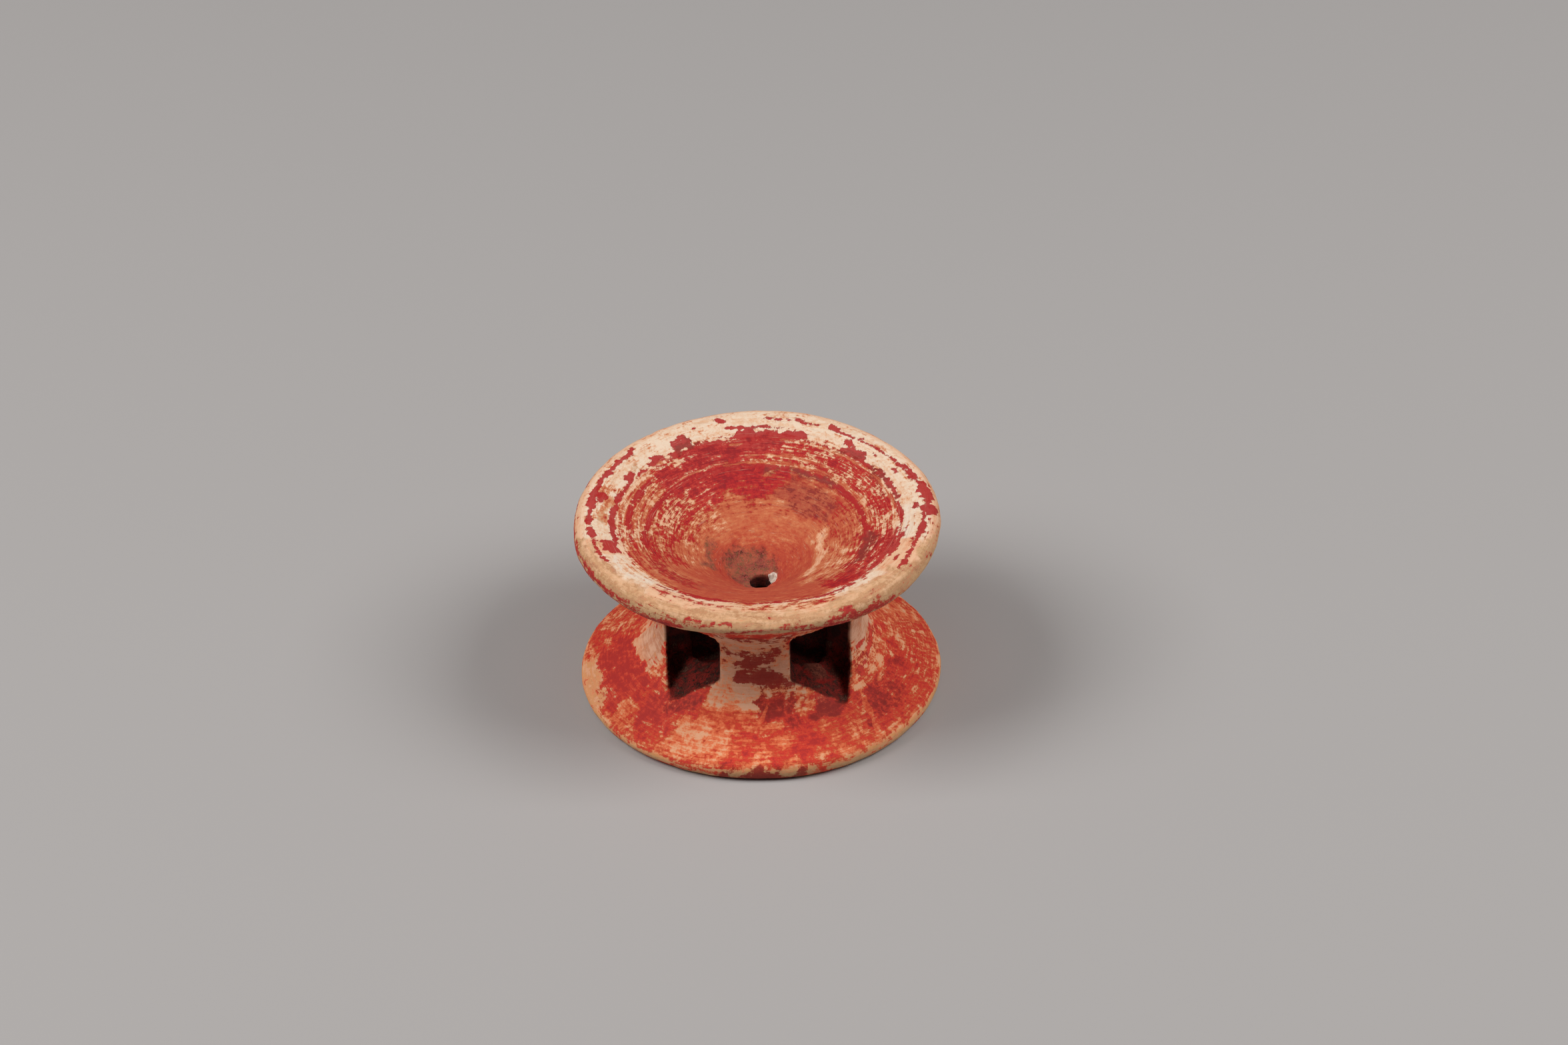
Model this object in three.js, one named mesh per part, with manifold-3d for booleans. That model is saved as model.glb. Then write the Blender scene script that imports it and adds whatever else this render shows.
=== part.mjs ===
// A hand-made clay spindle whorl: one fired piece shaped like a low spool. A concave dish with
// a small spindle hole stands on a flared foot, and the hollow neck between them is pierced by
// four windows, which leaves four short pillars. Millimetres, +Z up, foot on z = 0, front at -Y.
import * as THREE from "three";
import { mergeVertices } from "three/addons/utils/BufferGeometryUtils.js";
import Module from "manifold-3d";

const wasm = await Module();
wasm.setup();

// Driving dimensions. Outlines are [radius, height] pairs, from the axis outwards or upwards.
const flats = 72; // facets round a full turn

const foot = { radius: 21.8, thickness: 2.3, round: 1.15 };
const standingRing = 15.6; // inner radius of the flat ring that the whorl stands on
const footRecess = [[0, 1.9], [7, 1.65], [12.5, 0.8]]; // shallow hollow under the foot
const flare = [[19, 3.15], [17, 4.15], [15, 5.35], [13.6, 6.8], [12.7, 8.6]];
const neck = [[12.5, 10.4], [12.8, 12.4]];
const dishUnderside = [[13.6, 15], [15.3, 17.6], [18, 20.1], [20.2, 21.4]];
const lip = { radius: 22, height: 22.9, round: 1.25 };
const lipTop = [[19.6, 24.2], [17.5, 23.65]];
const bowl = [[15.6, 22.95], [13.3, 21.85], [10, 20.1], [8, 18.85]];
const cup = [[5.9, 17.35], [4.5, 16.2], [3.2, 15], [1.8, 14], [0, 13.4]];
const dishTilt = 1.1; // degrees that the dish dips towards the front

// The spindle passes through a small hole in the dish, chipped at one side, and through a
// slightly larger one in the foot.
const dishHole = { top: 1.45, bottom: 1.25, x: 0.25, y: 0.1 };
const footHole = { radius: 1.6 };
const holeChip = { wide: 0.75, deep: 0.95, high: 1.1, x: 1.5, y: 0.5, z: 14.2 };
const holeFlats = 18;

// The hollow inside the neck: a low mound of clay below, the bulge of the dish's cup above.
const hollowRadius = 9;
const hollowFloor = [[0, 5.5], [4, 5.35], [7, 4.9], [hollowRadius, 5.2]];
const hollowCeiling = [[hollowRadius, 14], [8.2, 14.6], [5.6, 13.7], [3, 12.5], [0, 11.8]];

// Each window is a cut made straight in from the front or the back. near and far are the
// distances from the middle plane to its two upright sides; foot is where the far side stands
// lower down, depth is where the side pillar's face begins, corner is how round the upper corners
// are, and the floor falls from near to far.
const windowTop = 15.3;
const faceSlant = 1.5; // how much further in a side pillar's face lies at its inner edge
const margin = 1; // how far a cutting shape reaches past what it cuts
const windows = [
  { side: -1, face: -1, near: 4.9, far: 11.8, foot: 10.9, depth: 5.1, floors: [7.9, 4.4], corner: 1.6 },
  { side: 1, face: -1, near: 3.6, far: 11.0, foot: 10.4, depth: 6.3, floors: [7.9, 4.1], corner: 1.1 },
  { side: -1, face: 1, near: 4.4, far: 11.3, foot: 10.6, depth: 5.6, floors: [7.5, 4.4], corner: 1.5 },
  { side: 1, face: 1, near: 4.1, far: 11.4, foot: 10.6, depth: 5.4, floors: [7.6, 4.3], corner: 1.3 },
];

// Where the hand-made edges leave the true circle: a bearing in degrees from +X, the width of
// the swelling to either side of it, and how far it moves the edge.
const footThickness = [
  { bearing: -88, width: 30, amount: 0.35 },
  { bearing: -50, width: 45, amount: 0.18 },
  { bearing: -150, width: 60, amount: -0.3 },
];
const footReach = [
  { bearing: 0, width: 60, amount: 0.3 },
  { bearing: 180, width: 60, amount: 0.3 },
  { bearing: -62, width: 35, amount: 0.1 },
  { bearing: 90, width: 70, amount: -0.3 },
  { bearing: -95, width: 40, amount: -0.25 },
];
const rimReach = [
  { bearing: -156, width: 32, amount: 0.27 },
  { bearing: 83, width: 30, amount: 0.2 },
  { bearing: 45, width: 32, amount: -0.16 },
];
const lipUnderside = [
  { bearing: -88, width: 32, amount: 0.45 },
  { bearing: -40, width: 30, amount: -0.3 },
  { bearing: -128, width: 25, amount: -0.2 },
];

const vector = ([radius, height]) => new THREE.Vector2(radius, height);
const through = (points, steps) => new THREE.SplineCurve(points.map(vector)).getPoints(steps);

function rounding(edge, from, to, steps) {
  const turn = THREE.MathUtils.degToRad;
  const curve = new THREE.EllipseCurve(
    edge.radius - edge.round, edge.height, edge.round, edge.rise, turn(from), turn(to));
  return curve.getPoints(steps);
}

// Turns a geometry into a solid that can be joined and cut: shared corners merged, and the
// slivers that a turned outline leaves on its axis dropped.
function solid(geometry) {
  const bare = geometry.clone();
  bare.deleteAttribute("normal");
  bare.deleteAttribute("uv");
  const merged = mergeVertices(bare, 1e-4);
  const corners = Array.from(merged.index.array);
  const kept = [];
  for (let i = 0; i < corners.length; i += 3) {
    const [a, b, c] = corners.slice(i, i + 3);
    if (a !== b && b !== c && c !== a) kept.push(a, b, c);
  }
  return new wasm.Manifold(new wasm.Mesh({
    numProp: 3,
    vertProperties: new Float32Array(merged.attributes.position.array),
    triVerts: new Uint32Array(kept),
  }));
}

function geometryOf(manifold) {
  const mesh = manifold.getMesh();
  const geometry = new THREE.BufferGeometry();
  geometry.setAttribute("position", new THREE.BufferAttribute(mesh.vertProperties, 3));
  geometry.setIndex(new THREE.BufferAttribute(mesh.triVerts, 1));
  return geometry;
}

function turned(outline, count = flats) {
  return new THREE.LatheGeometry(outline, count).rotateX(Math.PI / 2);
}

// The whole spool before it is pierced, from the middle of the underside out round the foot,
// up the neck, over the lip and down into the cup of the dish.
function spool() {
  const footEdge = { ...foot, height: foot.thickness / 2, rise: foot.thickness / 2 };
  const lipEdge = { ...lip, rise: lip.round };
  const underside = through([...footRecess, [standingRing, 0]], 6);
  const edgeOfFoot = rounding(footEdge, -90, 55, 5);
  const edgeOfLip = rounding(lipEdge, -55, 80, 5);
  const side = through([
    edgeOfFoot.at(-1).toArray(), ...flare, ...neck, ...dishUnderside, edgeOfLip[0].toArray()], 17);
  const inside = through([edgeOfLip.at(-1).toArray(), ...lipTop, ...bowl, ...cup], 16);
  return solid(turned([
    ...underside,
    ...edgeOfFoot.slice(0, -1), ...side, ...edgeOfLip.slice(1, -1), ...inside]));
}

function hollowOfNeck() {
  return solid(turned([...through(hollowFloor, 6), ...through(hollowCeiling, 8)], 48));
}

// The window's upright outline: round upper corners and a floor that rises to the near pillar.
function windowElevation({ side, near, far, foot: farFoot, floors: [nearFloor, farFloor], corner }) {
  const shape = new THREE.Shape();
  shape.moveTo(side * near, nearFloor);
  shape.lineTo(side * near, windowTop - corner);
  shape.quadraticCurveTo(side * near, windowTop, side * (near + corner), windowTop);
  shape.lineTo(side * (far - corner), windowTop);
  shape.quadraticCurveTo(side * far, windowTop, side * far, windowTop - corner);
  shape.lineTo(side * farFoot, farFloor);
  return shape;
}

// The window seen from above: it runs in from outside and stops at the side pillar's face,
// which slants a little towards the axis.
function windowPlan({ side, face, near, far, depth }) {
  const outside = foot.radius + margin;
  const inside = depth - faceSlant;
  const shape = new THREE.Shape();
  shape.moveTo(side * (near - margin), face * outside);
  shape.lineTo(side * (near - margin), face * inside);
  shape.lineTo(side * (hollowRadius - margin), face * inside);
  shape.lineTo(side * (far + margin), face * depth);
  shape.lineTo(side * (far + margin), face * outside);
  return shape;
}

function windowCut(size) {
  const reach = foot.radius + margin;
  const across = new THREE.ExtrudeGeometry(
    windowElevation(size), { depth: 2 * reach, bevelEnabled: false, curveSegments: 5 });
  across.rotateX(Math.PI / 2).translate(0, reach, 0);
  const upright = new THREE.ExtrudeGeometry(
    windowPlan(size), { depth: windowTop + margin, bevelEnabled: false });
  return solid(across).intersect(solid(upright));
}

// A round cutter on end that runs right through the clay between two heights.
function drill(top, bottom, low, high) {
  const length = high - low + 2 * margin;
  const cutter = new THREE.CylinderGeometry(top, bottom, length, holeFlats);
  return cutter.rotateX(Math.PI / 2).translate(0, 0, (low + high) / 2);
}

function spindleHoles() {
  const ceiling = hollowCeiling.at(-1)[1];
  const inDish = drill(dishHole.top, dishHole.bottom, ceiling, cup.at(-1)[1]);
  inDish.translate(dishHole.x, dishHole.y, 0);
  const inFoot = drill(footHole.radius, footHole.radius, footRecess[0][1], hollowFloor[0][1]);
  const chip = new THREE.SphereGeometry(1, 10, 7).scale(holeChip.wide, holeChip.deep, holeChip.high);
  chip.translate(holeChip.x, holeChip.y, holeChip.z);
  return solid(inDish).add(solid(inFoot)).add(solid(chip));
}

// Sum of soft swellings at one bearing, each fading to nothing at its width.
function swelling(places, bearing) {
  return places.reduce((sum, { bearing: middle, width, amount }) => {
    const away = Math.abs(((bearing - middle + 540) % 360) - 180);
    return sum + (away < width ? amount * (0.5 + 0.5 * Math.cos((Math.PI * away) / width)) : 0);
  }, 0);
}

// Moves the edges of the foot and the lip off the true circle, as hand-shaping leaves them,
// and tips the dish a little towards the front. The standing ring stays flat on z = 0.
function handShape(geometry) {
  const { smoothstep, radToDeg, degToRad } = THREE.MathUtils;
  const place = geometry.attributes.position;
  for (let i = 0; i < place.count; i += 1) {
    const [x, y, z] = [place.getX(i), place.getY(i), place.getZ(i)];
    const radius = Math.hypot(x, y);
    const bearing = radToDeg(Math.atan2(y, x));
    const nearEdge = smoothstep(radius, 14, 21);
    const atFoot = nearEdge * (1 - smoothstep(z, 4, 9));
    const atRim = nearEdge * smoothstep(z, 16, 21);
    const reach = atFoot * swelling(footReach, bearing) + atRim * swelling(rimReach, bearing);
    const thicker = atFoot * smoothstep(z, 0.4, 2) * swelling(footThickness, bearing);
    const tip = y * Math.tan(degToRad(dishTilt)) * smoothstep(z, 9, 18);
    const lift = atRim * (1 - smoothstep(z, 22, 24.2)) * swelling(lipUnderside, bearing);
    const wider = 1 + reach / foot.radius;
    place.setXYZ(i, x * wider, y * wider, z + thicker + tip + lift);
  }
  return geometry;
}

function whorl() {
  let body = spool().subtract(hollowOfNeck());
  for (const size of windows) body = body.subtract(windowCut(size));
  body = body.subtract(spindleHoles());
  const clay = new THREE.MeshStandardMaterial({ color: 0xb8402c, roughness: 0.85, metalness: 0 });
  const mesh = new THREE.Mesh(handShape(geometryOf(body)), clay);
  mesh.name = "whorl";
  return mesh;
}

const group = new THREE.Group();
group.add(whorl());
export default group;
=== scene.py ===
import math

import bmesh
import bpy
import numpy as np
from mathutils import Matrix, Vector, kdtree, noise


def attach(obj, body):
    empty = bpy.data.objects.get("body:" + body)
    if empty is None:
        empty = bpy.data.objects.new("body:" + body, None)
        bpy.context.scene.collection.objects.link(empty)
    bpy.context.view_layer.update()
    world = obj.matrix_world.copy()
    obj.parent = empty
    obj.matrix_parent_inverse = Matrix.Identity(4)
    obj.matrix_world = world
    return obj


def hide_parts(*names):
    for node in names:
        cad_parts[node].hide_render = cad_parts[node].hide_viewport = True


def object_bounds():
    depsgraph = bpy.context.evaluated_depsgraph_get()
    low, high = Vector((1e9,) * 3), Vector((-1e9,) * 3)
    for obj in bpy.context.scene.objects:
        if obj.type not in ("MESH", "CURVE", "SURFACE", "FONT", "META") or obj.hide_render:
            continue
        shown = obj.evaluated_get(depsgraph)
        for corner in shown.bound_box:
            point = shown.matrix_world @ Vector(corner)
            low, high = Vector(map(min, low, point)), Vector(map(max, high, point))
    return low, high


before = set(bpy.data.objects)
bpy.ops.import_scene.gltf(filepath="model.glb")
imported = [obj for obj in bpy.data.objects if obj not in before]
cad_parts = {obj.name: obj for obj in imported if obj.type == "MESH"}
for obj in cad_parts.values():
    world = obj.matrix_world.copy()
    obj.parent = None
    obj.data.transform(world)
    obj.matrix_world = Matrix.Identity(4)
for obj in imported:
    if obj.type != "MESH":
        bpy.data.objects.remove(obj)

cad_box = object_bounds()


# The spool: a whorl of fired clay, thrown by hand as one piece, with a dish above and a foot below.
# It is turned here from the same [radius, height] outline as the solid, in millimetres, and all
# of it is brought to metres once it is finished.
turns = 144
underside_points = [(0, 1.9), (7, 1.65), (12.5, 0.8), (15.6, 0)]
flare_points = [(19, 3.15), (17, 4.15), (15, 5.35), (13.6, 6.8), (12.7, 8.6)]
neck_points = [(12.5, 10.4), (12.8, 12.4)]
dish_underside_points = [(13.6, 15), (15.3, 17.6), (18, 20.1), (20.2, 21.4)]
lip_top_points = [(19.6, 24.2), (17.5, 23.65)]
bowl_points = [(15.6, 22.95), (13.3, 21.85), (10, 20.1), (8, 18.85)]
cup_points = [(5.9, 17.35), (4.5, 16.2), (3.2, 15), (1.8, 14), (0, 13.4)]
foot_radius = 21.8
foot_round = 1.15
lip_radius = 22
lip_height = 22.9
lip_round = 1.25


def soft_curve(points, steps):
    points = np.array(points, float)
    last = len(points) - 1
    curve = []
    for i in range(last):
        start = points[i]
        end = points[i + 1]
        leave = (end - points[max(i - 1, 0)]) / 2
        arrive = (points[min(i + 2, last)] - start) / 2
        for t in np.arange(steps) / steps:
            bend = (2 * start - 2 * end + leave + arrive) * t ** 3
            bend += (3 * end - 3 * start - 2 * leave - arrive) * t ** 2
            curve.append(bend + leave * t + start)
    curve.append(points[last])
    return curve


def round_edge(radius, height, size, first, last):
    angles = np.radians(np.linspace(first, last, 13))
    return [(radius - size + size * math.cos(a), height + size * math.sin(a)) for a in angles]


foot_edge = round_edge(foot_radius, foot_round, foot_round, -90, 55)
lip_edge = round_edge(lip_radius, lip_height, lip_round, -55, 80)
outer_points = [foot_edge[-1], *flare_points, *neck_points, *dish_underside_points, lip_edge[0]]
inner_points = [lip_edge[-1], *lip_top_points, *bowl_points, *cup_points]
outline = soft_curve(underside_points, 8)
outline += foot_edge[:-1]
outline += soft_curve(outer_points, 6)
outline += lip_edge[1:-1]
outline += soft_curve(inner_points, 6)


def shown(mesh, name):
    thing = bpy.data.objects.new(name, mesh)
    bpy.context.scene.collection.objects.link(thing)
    return thing


def turned(points, steps, name):
    shape = bmesh.new()
    corners = [shape.verts.new((radius, 0, height)) for radius, height in points]
    for lower, upper in zip(corners, corners[1:]):
        shape.edges.new((lower, upper))
    bmesh.ops.spin(
        shape, geom=shape.verts[:] + shape.edges[:], axis=(0, 0, 1), cent=(0, 0, 0),
        angle=math.tau, steps=steps, use_merge=True)
    bmesh.ops.remove_doubles(shape, verts=shape.verts, dist=0.0005)
    bmesh.ops.recalc_face_normals(shape, faces=shape.faces)
    mesh = bpy.data.meshes.new(name)
    shape.to_mesh(mesh)
    shape.free()
    return shown(mesh, name)


whorl = turned(outline, turns, "whorl_skin")


# The hollow and the four windows: the potter cut them with a knife while the clay was still
# firm, and left four short pillars. Each cutter is its own shape that is taken out of the spool.
hollow_floor = [(0, 5.5), (4, 5.35), (7, 4.9), (9, 5.2)]
hollow_ceiling = [(9, 14), (8.2, 14.6), (5.6, 13.7), (3, 12.5), (0, 11.8)]
window_top = 15.3
face_slant = 1.5
slant_start = 8
window_reach = 22.8
windows = [
    dict(side=-1, face=-1, near=4.9, far=11.8, foot=10.9, depth=5.1, floors=(7.9, 4.4), corner=1.6),
    dict(side=1, face=-1, near=3.6, far=11.0, foot=10.4, depth=6.3, floors=(7.9, 4.1), corner=1.1),
    dict(side=-1, face=1, near=4.4, far=11.3, foot=10.6, depth=5.6, floors=(7.5, 4.4), corner=1.5),
    dict(side=1, face=1, near=4.1, far=11.4, foot=10.6, depth=5.4, floors=(7.6, 4.3), corner=1.3),
]


def window_cutter(cut):
    near = cut["near"]
    far = cut["far"]
    top = window_top
    bend = cut["corner"]
    near_floor, far_floor = cut["floors"]
    sides = [(near, near_floor), (near, top - bend)]
    sides += [(near + bend * 0.29, top - bend * 0.29), (near + bend, top)]
    sides += [(far - bend, top), (far - bend * 0.29, top - bend * 0.29)]
    sides += [(far, top - bend), (cut["foot"], far_floor)]
    outside = cut["face"] * window_reach
    inside = cut["face"] * (cut["depth"] - face_slant)
    shape = bmesh.new()
    ring = [shape.verts.new((cut["side"] * x, outside, z)) for x, z in sides]
    front = shape.faces.new(ring)
    pushed = bmesh.ops.extrude_face_region(shape, geom=[front])["geom"]
    moved = [part for part in pushed if isinstance(part, bmesh.types.BMVert)]
    bmesh.ops.translate(shape, verts=moved, vec=(0, inside - outside, 0))
    run = far + 1 - slant_start
    facing = Vector((-face_slant * cut["side"], run * cut["face"], 0))
    sliced = bmesh.ops.bisect_plane(
        shape, geom=shape.verts[:] + shape.edges[:] + shape.faces[:],
        plane_co=(cut["side"] * slant_start, inside, 0), plane_no=facing, clear_inner=True)
    rim = [part for part in sliced["geom_cut"] if isinstance(part, bmesh.types.BMEdge)]
    bmesh.ops.holes_fill(shape, edges=rim)
    bmesh.ops.recalc_face_normals(shape, faces=shape.faces)
    mesh = bpy.data.meshes.new("window")
    shape.to_mesh(mesh)
    shape.free()
    return shown(mesh, "window")


def take_out(thing, cutters):
    for cutter in cutters:
        taken = thing.modifiers.new(cutter.name, "BOOLEAN")
        taken.operation = "DIFFERENCE"
        taken.solver = "EXACT"
        taken.object = cutter


def settle(thing, cutters):
    finished = bpy.data.meshes.new_from_object(
        thing.evaluated_get(bpy.context.evaluated_depsgraph_get()))
    finished.name = thing.name
    thing.modifiers.clear()
    thing.data = finished
    for cutter in cutters:
        bpy.data.objects.remove(cutter)


openings = [turned(soft_curve(hollow_floor, 3) + soft_curve(hollow_ceiling, 4), 72, "hollow")]
openings += [window_cutter(cut) for cut in windows]
take_out(whorl, openings)
skin = whorl.modifiers.new("even_skin", "REMESH")
skin.mode = "VOXEL"
skin.voxel_size = 0.42
settle(whorl, openings)


# The worn edges: handling has rounded every cut edge, while the turned walls keep their outline.
# Each point of the skin learns how far along the outline it lies, and whether it is on a wall
# that was turned or on one that was cut.
grain = 0.02
worn_passes = 3

outline = np.array(outline)
steps = np.hypot(*np.diff(outline, axis=0).T)
length = np.concatenate([[0], np.cumsum(steps)])
along = np.arange(0, length[-1], grain)
trail = np.column_stack([np.interp(along, length, outline[:, i]) for i in (0, 1)])
across = np.gradient(trail, axis=0)
across /= np.hypot(*across.T)[:, None]
outward = np.column_stack([across[:, 1], -across[:, 0]])
foot_start = along[np.argmax(trail[:, 0] * (trail[:, 1] < 5))]
lip_start = along[np.argmax(trail[:, 0] * (trail[:, 1] > 20))]

guide = kdtree.KDTree(len(trail))
for i, (radius, height) in enumerate(trail):
    guide.insert((radius, height, 0), i)
guide.balance()


def smooth_step(low, high, value):
    t = np.clip((value - low) / (high - low), 0, 1)
    return t * t * (3 - 2 * t)


def places(mesh):
    flat = np.empty(len(mesh.vertices) * 3)
    mesh.vertices.foreach_get("co", flat)
    return flat.reshape(-1, 3)


def nearest_on_outline(points):
    radii = np.hypot(points[:, 0], points[:, 1])
    return np.array([guide.find((r, z, 0))[1] for r, z in zip(radii, points[:, 2])])


def settle_on_outline(points):
    index = nearest_on_outline(points)
    radii = np.hypot(points[:, 0], points[:, 1])
    here = np.column_stack([radii, points[:, 2]])
    off = np.sum((here - trail[index]) * outward[index], axis=1)
    hold = 1 - smooth_step(0.06, 0.22, np.abs(off))
    here -= (off * hold)[:, None] * outward[index]
    scale = here[:, 0] / np.maximum(radii, 1e-6)
    return np.column_stack([points[:, 0] * scale, points[:, 1] * scale, here[:, 1]])


worn = bmesh.new()
worn.from_mesh(whorl.data)
for _ in range(worn_passes):
    bmesh.ops.smooth_vert(
        worn, verts=worn.verts, factor=0.5, use_axis_x=True, use_axis_y=True, use_axis_z=True)
for vert, place in zip(worn.verts, settle_on_outline(np.array([v.co for v in worn.verts]))):
    vert.co = place


def on_dish_wall(face):
    middle = face.calc_center_median()
    return 12 < math.hypot(middle.x, middle.y) < 21.9 and middle.z > 20.5 and face.normal.z > 0.2


fine = {edge for face in worn.faces if on_dish_wall(face) for edge in face.edges}
bmesh.ops.subdivide_edges(worn, edges=list(fine), cuts=1, use_grid_fill=True)
bmesh.ops.triangulate(worn, faces=[face for face in worn.faces if len(face.verts) > 4])
worn.to_mesh(whorl.data)
worn.free()


# The spindle holes: a small one through the cup of the dish, where a flake of clay has broken
# away at one side, and a slightly wider one through the foot. They are cut last, so their edges
# stay crisp, and a band of short facets down each hole lets its wall be worn like the rest.
dish_hole = dict(top=1.45, bottom=1.25, low=10.8, high=14.4, x=0.25, y=0.1)
foot_hole = dict(top=1.6, bottom=1.6, low=0.9, high=6.5, x=0, y=0)
hole_bands = 9
flake_place = (1.5, 0.5, 14.2)
flake_size = (0.6, 0.8, 1.1)
flake_jag = 0.35


def round_cutter(top, bottom, low, high, x, y):
    shape = bmesh.new()
    bmesh.ops.create_cone(
        shape, cap_ends=True, segments=36, radius1=bottom, radius2=top, depth=high - low)
    uprights = [edge for edge in shape.edges if abs(edge.verts[0].co.z - edge.verts[1].co.z) > 0.1]
    bmesh.ops.subdivide_edges(shape, edges=uprights, cuts=hole_bands)
    bmesh.ops.translate(shape, verts=shape.verts, vec=(x, y, (low + high) / 2))
    mesh = bpy.data.meshes.new("hole")
    shape.to_mesh(mesh)
    shape.free()
    return shown(mesh, "hole")


def flake_cutter():
    shape = bmesh.new()
    bmesh.ops.create_icosphere(shape, subdivisions=3, radius=1)
    for vert in shape.verts:
        vert.co *= 1 + flake_jag * noise.noise(vert.co * 1.7 + Vector((2.3, 0, 0)))
    bmesh.ops.scale(shape, verts=shape.verts, vec=flake_size)
    bmesh.ops.translate(shape, verts=shape.verts, vec=flake_place)
    mesh = bpy.data.meshes.new("flake")
    shape.to_mesh(mesh)
    shape.free()
    return shown(mesh, "flake")


holes = [round_cutter(**dish_hole), round_cutter(**foot_hole), flake_cutter()]
take_out(whorl, holes)
settle(whorl, holes)


# What each point of the finished skin needs for its marks and its paint: how far along the
# outline it lies from the lip and from the foot, its bearing from the right, with the front at
# -90 degrees, and how far it is off the turned walls.
points = settle_on_outline(places(whorl.data))
index = nearest_on_outline(points)
radius = np.hypot(points[:, 0], points[:, 1])
height = points[:, 2].copy()
bearing = np.degrees(np.arctan2(points[:, 1], points[:, 0]))
off_wall = np.hypot(radius - trail[index, 0], height - trail[index, 1])
is_cut = smooth_step(0.1, 0.35, off_wall)
from_lip = along[index] - lip_start
from_foot = along[index] - foot_start
in_dish = (from_lip > -3.2) & (is_cut < 0.5)


# The hand marks: the wheel left fine grooves, and fingers and use left dents, pits and crumbs.
# The edges of the foot and the lip swell here and there, and the dish tips a little forward.
foot_thickness = [(-88, 30, 0.35), (-50, 45, 0.18), (-150, 60, -0.3)]
foot_reach = [(0, 60, 0.3), (180, 60, 0.3), (-62, 35, 0.1), (90, 70, -0.3), (-95, 40, -0.25)]
rim_reach = [(-156, 32, 0.27), (83, 30, 0.2), (45, 32, -0.16)]
lip_underside = [(-88, 32, 0.45), (-40, 30, -0.3), (-128, 25, -0.2)]
dish_tilt = math.radians(1.1)


def bearing_away(middle):
    return np.abs((bearing - middle + 180) % 360 - 180)


def swelling(spots):
    total = np.zeros(len(bearing))
    for middle, width, amount in spots:
        near = np.clip(bearing_away(middle) / width, 0, 1)
        total += amount * (0.5 + 0.5 * np.cos(np.pi * near))
    return total


def lumps(coords, size, seed):
    spots = coords / np.array(size) + seed
    return np.array([noise.noise(spot) for spot in spots.tolist()])


def pits(coords, size, seed, share):
    cells = coords / size + seed
    dips = np.zeros(len(cells))
    for i, cell in enumerate(cells.tolist()):
        away, seeds = noise.voronoi(cell)
        if noise.cell(seeds[0]) > 1 - share:
            dips[i] = max(0, 1 - (away[0] / 0.42) ** 2)
    return dips


ring_coords = np.column_stack([
    along[index], 14 * np.cos(np.radians(bearing)), 14 * np.sin(np.radians(bearing))])

groove = lumps(ring_coords, (0.55, 16, 16), 3.1) + 0.6 * lumps(ring_coords, (0.24, 11, 11), 8.7)
dent = lumps(points, (5.5, 5.5, 5.5), 1.3)
knock = lumps(points, (1.7, 1.7, 1.7), 5.9)
crumb = lumps(points, (0.75, 0.75, 0.75), 7.7) + 0.6 * lumps(points, (0.42, 0.42, 0.42), 2.2)

normals = np.empty(len(points) * 3)
whorl.data.vertices.foreach_get("normal", normals)
normals = normals.reshape(-1, 3)

edge = smooth_step(20.6, 21.7, radius)
wall = 1 - is_cut
step_at_lip = smooth_step(4.9, 5.5, from_lip) * (1 - smooth_step(7, 9, from_lip))
cup_floor = (from_lip > 0) * (1 - smooth_step(4, 5.6, radius)) * wall
window_floor = is_cut * (1 - smooth_step(7.5, 9, height))

lump_at = np.hypot((points[:, 0] - 6.6) / 1.9, (points[:, 1] + 8.2) / 1.6)
lump_at += 0.25 * lumps(points, (0.9, 0.9, 0.9), 12.6)
lump = window_floor * (1 - smooth_step(0.55, 1.0, lump_at))
crack = window_floor * (1 - smooth_step(0.03, 0.14, np.abs(lump_at - 0.98)))

pocks = pits(points, 1.5, 6.1, 0.2)
push = wall * (0.022 * groove + 0.05 * dent + 0.02 * knock)
push += is_cut * (0.10 * dent + 0.09 * knock + 0.04 * crumb)
push += window_floor * (0.13 * crumb + 0.14 * knock) + 0.42 * lump - 0.2 * crack
push += cup_floor * 0.07 * crumb
push += edge * (0.035 * knock - 0.03) - wall * 0.07 * pocks
push -= step_at_lip * in_dish * 0.06
marks = points + normals * push[:, None]

near_edge = smooth_step(14, 21, radius)
at_foot = near_edge * (1 - smooth_step(4, 9, height))
at_rim = near_edge * smooth_step(16, 21, height)
reach = 1 + (at_foot * swelling(foot_reach) + at_rim * swelling(rim_reach)) / foot_radius
thicker = at_foot * smooth_step(0.4, 2, height) * swelling(foot_thickness)
tip = points[:, 1] * math.tan(dish_tilt) * smooth_step(9, 18, height)
lift = at_rim * (1 - smooth_step(22, 24.2, height)) * swelling(lip_underside)
shaped = marks * np.column_stack([reach, reach, np.ones(len(reach))])
shaped[:, 2] += thicker + tip + lift

millimetre = 0.001
inside_by = 0.01
lowest = np.array(cad_box[0]) / millimetre + inside_by
highest = np.array(cad_box[1]) / millimetre - inside_by
shaped = np.clip(shaped, lowest, highest)
whorl.data.vertices.foreach_set("co", (shaped * millimetre).ravel())
whorl.data.update()
whorl.data.shade_smooth()


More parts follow.
